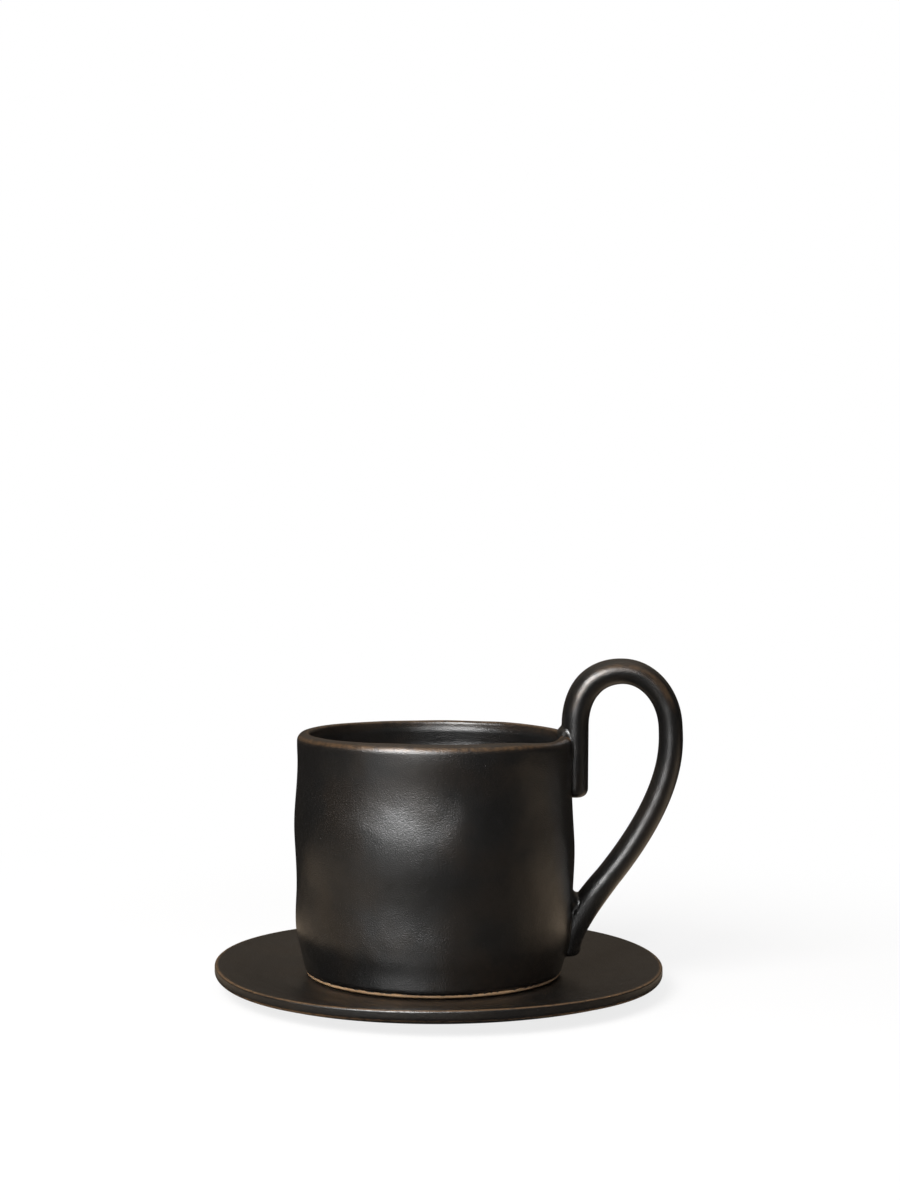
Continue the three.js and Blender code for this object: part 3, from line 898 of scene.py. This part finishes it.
def seen_directly(tree):
    """1 on rays that come from the lens, a gloss or a clear body, and 0 on the rest."""
    path = add_node(tree, "ShaderNodeLightPath")
    seen = path.outputs["Is Camera Ray"]
    for ray in ("Is Glossy Ray", "Is Transmission Ray"):
        seen = combined(tree, "MAXIMUM", seen, path.outputs[ray])
    return seen


def mixed(tree, share, first, second):
    """The first shader where the share is 0, the second where it is 1."""
    return add_node(tree, "ShaderNodeMixShader", {0: share, 1: first, 2: second}).outputs["Shader"]


bpy.ops.object.select_all(action="DESELECT")
bpy.ops.mesh.primitive_plane_add(size=FLOOR_SIZE, location=(0, 0, 0))
floor = bpy.context.object
floor.name = "studio_floor"
pale = bpy.data.materials.new("pale_floor")
pale.use_nodes = True
tree = pale.node_tree
tree.nodes.remove(tree.nodes["Principled BSDF"])
paint = add_node(tree, "ShaderNodeBsdfDiffuse", {"Color": FLOOR_PAINT}).outputs["BSDF"]
length = add_node(tree, "ShaderNodeVectorMath", {0: own_place(tree)}, operation="LENGTH")
from_middle = length.outputs["Value"]
shadow_share = between(tree, from_middle, *FLOOR_SHADOW_REACH, FLOOR_SHADOW_SHARE, 0.0)
whiteness = between(tree, from_middle, *FLOOR_SHADOW_REACH, FLOOR_WHITE, 1.0)
white = add_node(tree, "ShaderNodeEmission", {"Color": WHITE, "Strength": whiteness}).outputs["Emission"]
shaded = mixed(tree, shadow_share, white, paint)
lit_floor = mixed(tree, seen_directly(tree), paint, shaded)
tree.links.new(lit_floor, tree.nodes["Material Output"].inputs["Surface"])
floor.data.materials.append(pale)


# Studio: a white background, a soft even sky and one lamp high on the left of the lens. The lamp's
# scrim and the dark room round the set, with its table, show only in the glaze. They glow with painted
# light and shade for the glaze to mirror: a hot spot on the scrim, a dim back wall and a pale ceiling in
# the room, and on the table a lit patch, the saucer's shadow, a shade in front and a glare.
SKY_LIGHT = (0.45, 0.45, 0.46, 1)
ROOM_RADIUS = 1.6
ROOM_HEIGHT = 2.0
ROOM_SIDES = 64
ROOM_LIFT = 0.3 * MM
ROOM_DARK = (0.018, 0.016, 0.0145, 1)
ROOM_BACK = (0.060, 0.049, 0.038, 1)
ROOM_BACK_HIGH = (0.20, 0.165, 0.13, 1)
ROOM_BACK_REACH = (0.9, 1.45)
ROOM_BACK_RISE = (-0.8, 0.0)
ROOM_TOP = (0.45, 0.40, 0.34, 1)
ROOM_TOP_START = (0.99, 0.995)
# Painted light and shade on the mirrored table: a warm lit patch, the saucer's shadow, a shade and a
# glare.
TABLE_PAINTED_LIGHT = (0.55, 0.43, 0.31, 1)
TABLE_MIDDLE = (0.20, 0, 0)
TABLE_REACH = (0.07, 0.20)
TABLE_STRETCH = (3.2, 0.8)
TABLE_SHADOW = (0.072, 0.095)
TABLE_GLARE = (1.6, 1.59, 1.56, 1)
TABLE_FACING = -0.5
GLARE_PLACE = (-0.15, -0.28, 0)
GLARE_REACH = (0.20, 0.25)
GLARE_FADE = (0.1, 1.0)
SHADE_PLACE = (0.12, -0.24, 0)
SHADE_REACH = (0.26, 0.30)
SHADE_FADE = (0.4, 1.0)
SHADE_SHARE = 0.95
LAMP_SIZE = 0.42
LAMP_POWER = 7
LAMP_DISTANCE = 0.75
LAMP_SIDE = 31
LAMP_RISE = 38
SCRIM_WIDTH = 2.0
SCRIM_HEIGHT = 1.5
SCRIM_RISE = 32
SCRIM_DISTANCE = 0.9
SCRIM_HOT = 19
SCRIM_HOT_REACH = (0.13, 0.36)
SCRIM_SKIRT = 5.4
SCRIM_SKIRT_SHIFT = 0.16
SCRIM_SKIRT_SIDE = (0.05, 0.80)
SCRIM_HEM_RISE = (0, 20)
SCRIM_HEM_SHARE = 0.1
SCRIM_TOP_RISE = (42, 60)
SCRIM_TOP_SHARE = 0.12
MIDDLE = (0, 0, 0)
EVENLY = (1, 1)
AIM = Vector((0, 0, 45 * MM))

scene = bpy.context.scene
scene.view_settings.view_transform = "Standard"
sky = scene.world or bpy.data.worlds.new("studio_sky")
scene.world = sky
sky.use_nodes = True
tree = sky.node_tree
even = tree.nodes["Background"]
even.inputs["Color"].default_value = SKY_LIGHT
backdrop = add_node(tree, "ShaderNodeBackground", {"Color": WHITE, "Strength": 1.0})
whole_sky = mixed(tree, seen_directly(tree), even.outputs["Background"], backdrop.outputs["Background"])
tree.links.new(whole_sky, tree.nodes["World Output"].inputs["Surface"])


def only_in_gloss(card):
    """Hides a studio card from the lens and from the light: it only shows mirrored in a gloss."""
    card.visible_camera = False
    card.visible_diffuse = False
    card.visible_transmission = False
    card.visible_volume_scatter = False
    card.visible_shadow = False


def glowing(name):
    """A material that only glows, with its tree and the node whose colour and strength are to be set."""
    paint = bpy.data.materials.new(name)
    paint.use_nodes = True
    tree = paint.node_tree
    tree.nodes.remove(tree.nodes["Principled BSDF"])
    glow = add_node(tree, "ShaderNodeEmission")
    tree.links.new(glow.outputs["Emission"], tree.nodes["Material Output"].inputs["Surface"])
    return paint, tree, glow


def along_axis(tree, axis):
    return add_node(tree, "ShaderNodeSeparateXYZ", {"Vector": own_place(tree)}).outputs[axis]


def distance_from(tree, middle, reach):
    """Distance on a card from a middle point, in shares of its reach along the card's own axes."""
    moved = add_node(tree, "ShaderNodeVectorMath", {0: own_place(tree), 1: middle}, operation="SUBTRACT")
    shares = (1 / reach[0], 1 / reach[1], 0)
    scaled = add_node(
        tree, "ShaderNodeVectorMath", {0: moved.outputs["Vector"], 1: shares}, operation="MULTIPLY")
    length = add_node(tree, "ShaderNodeVectorMath", {0: scaled.outputs["Vector"]}, operation="LENGTH")
    return length.outputs["Value"]


bpy.ops.object.select_all(action="DESELECT")
bpy.ops.mesh.primitive_cylinder_add(
    vertices=ROOM_SIDES, radius=ROOM_RADIUS, depth=ROOM_HEIGHT,
    location=(0, 0, ROOM_LIFT + ROOM_HEIGHT / 2))
room = bpy.context.object
room.name = "dark_room"
# The room's wall glows with painted light for the glaze to mirror: dark at the sides and front, a dim warm
# back that pales upward, and a pale ceiling.
wall_paint, tree, glow = glowing("dark_wall")
behind = between(tree, along_axis(tree, "Y"), *ROOM_BACK_REACH)
risen = between(tree, along_axis(tree, "Z"), *ROOM_BACK_RISE)
back_wall = blend_colours(tree, risen, ROOM_BACK, ROOM_BACK_HIGH)
walls = blend_colours(tree, behind, ROOM_DARK, back_wall)
overhead = between(tree, along_axis(tree, "Z"), *(share * ROOM_HEIGHT / 2 for share in ROOM_TOP_START))
tree.links.new(blend_colours(tree, overhead, walls, ROOM_TOP), glow.inputs["Color"])
room.data.materials.append(wall_paint)
# The table glows with painted light and shade, seen only in the glaze: a warm lit patch to the right, a
# painted shadow round the saucer, a painted shade in front on the right and a painted glare in front on
# the left.
table_paint, tree, glow = glowing("table_top")
far = between(tree, distance_from(tree, TABLE_MIDDLE, TABLE_STRETCH), *TABLE_REACH)
table = blend_colours(tree, far, TABLE_PAINTED_LIGHT, ROOM_DARK)
lit = between(tree, distance_from(tree, MIDDLE, EVENLY), *TABLE_SHADOW)
table = blend_colours(tree, lit, ROOM_DARK, table)
shade = between(tree, distance_from(tree, SHADE_PLACE, SHADE_REACH), *SHADE_FADE, SHADE_SHARE, 0.0)
table = blend_colours(tree, shade, table, ROOM_DARK)
glare = between(tree, distance_from(tree, GLARE_PLACE, GLARE_REACH), *GLARE_FADE, 1.0, 0.0)
tree.links.new(blend_colours(tree, glare, table, TABLE_GLARE), glow.inputs["Color"])
room.data.materials.append(table_paint)
for face in room.data.polygons:
    face.material_index = 1 if face.normal.z < TABLE_FACING else 0
only_in_gloss(room)


def towards(side, rise):
    """Direction from the object, by degrees to the left of the lens and degrees above the floor."""
    side, rise = math.radians(side), math.radians(rise)
    return Vector((-math.sin(side) * math.cos(rise), -math.cos(side) * math.cos(rise), math.sin(rise)))


def facing_object(side, rise):
    return towards(side, rise).to_track_quat("Z", "Y").to_euler()


def on_scrim(rise):
    """Height on the scrim of what stands at so many degrees above the floor as seen from the object."""
    return SCRIM_DISTANCE * math.tan(math.radians(rise - SCRIM_RISE))


bpy.ops.object.light_add(
    type="AREA", location=AIM + towards(LAMP_SIDE, LAMP_RISE) * LAMP_DISTANCE,
    rotation=facing_object(LAMP_SIDE, LAMP_RISE))
lamp = bpy.context.object
lamp.name = "lamp_left"
lamp.data.shape = "SQUARE"
lamp.data.size = LAMP_SIZE
lamp.data.energy = LAMP_POWER
lamp.visible_glossy = False

bpy.ops.object.select_all(action="DESELECT")
bpy.ops.mesh.primitive_plane_add(
    size=1, location=AIM + towards(LAMP_SIDE, SCRIM_RISE) * SCRIM_DISTANCE,
    rotation=facing_object(LAMP_SIDE, SCRIM_RISE))
scrim = bpy.context.object
scrim.name = "scrim_left"
bpy.ops.object.mode_set(mode="EDIT")
bpy.ops.mesh.select_all(action="SELECT")
bpy.ops.transform.resize(value=(SCRIM_WIDTH, SCRIM_HEIGHT, 1), orient_type="LOCAL")
bpy.ops.object.mode_set(mode="OBJECT")
# The scrim glows only in the glaze, in place of the lamp: a painted hot spot round the lamp's place, and a
# dimmer painted skirt that fades low down and high up.
scrim_paint, tree, glow = glowing("scrim_cloth")
from_lamp = distance_from(tree, (0, on_scrim(LAMP_RISE), 0), EVENLY)
hot = between(tree, from_lamp, *SCRIM_HOT_REACH, SCRIM_HOT, 0.0)
aside = combined(tree, "SUBTRACT", along_axis(tree, "X"), SCRIM_SKIRT_SHIFT)
spread = between(tree, combined(tree, "ABSOLUTE", aside), *SCRIM_SKIRT_SIDE, SCRIM_SKIRT, 0.0)
hem = between(tree, along_axis(tree, "Y"), *map(on_scrim, SCRIM_HEM_RISE), SCRIM_HEM_SHARE, 1.0)
top = between(tree, along_axis(tree, "Y"), *map(on_scrim, SCRIM_TOP_RISE), 1.0, SCRIM_TOP_SHARE)
skirt = combined(tree, "MULTIPLY", combined(tree, "MULTIPLY", spread, hem), top)
tree.links.new(combined(tree, "ADD", hot, skirt), glow.inputs["Strength"])
scrim.data.materials.append(scrim_paint)
only_in_gloss(scrim)


# Camera: the photograph's own view, from about 0.64 m in front of the cup and a little above the top of
# the handle's arch, tipped down by nearly 2 degrees.
CAMERA_PLACE = (2.863 * MM, -0.635, 0.141)
CAMERA_PITCH = 1.7955
CAMERA_ROLL = -0.2865
CAMERA_LENS = 60.97
bpy.ops.object.camera_add(
    location=CAMERA_PLACE,
    rotation=(math.radians(90 - CAMERA_PITCH), math.radians(CAMERA_ROLL), 0))
camera = bpy.context.object
camera.data.lens = CAMERA_LENS
scene.camera = camera
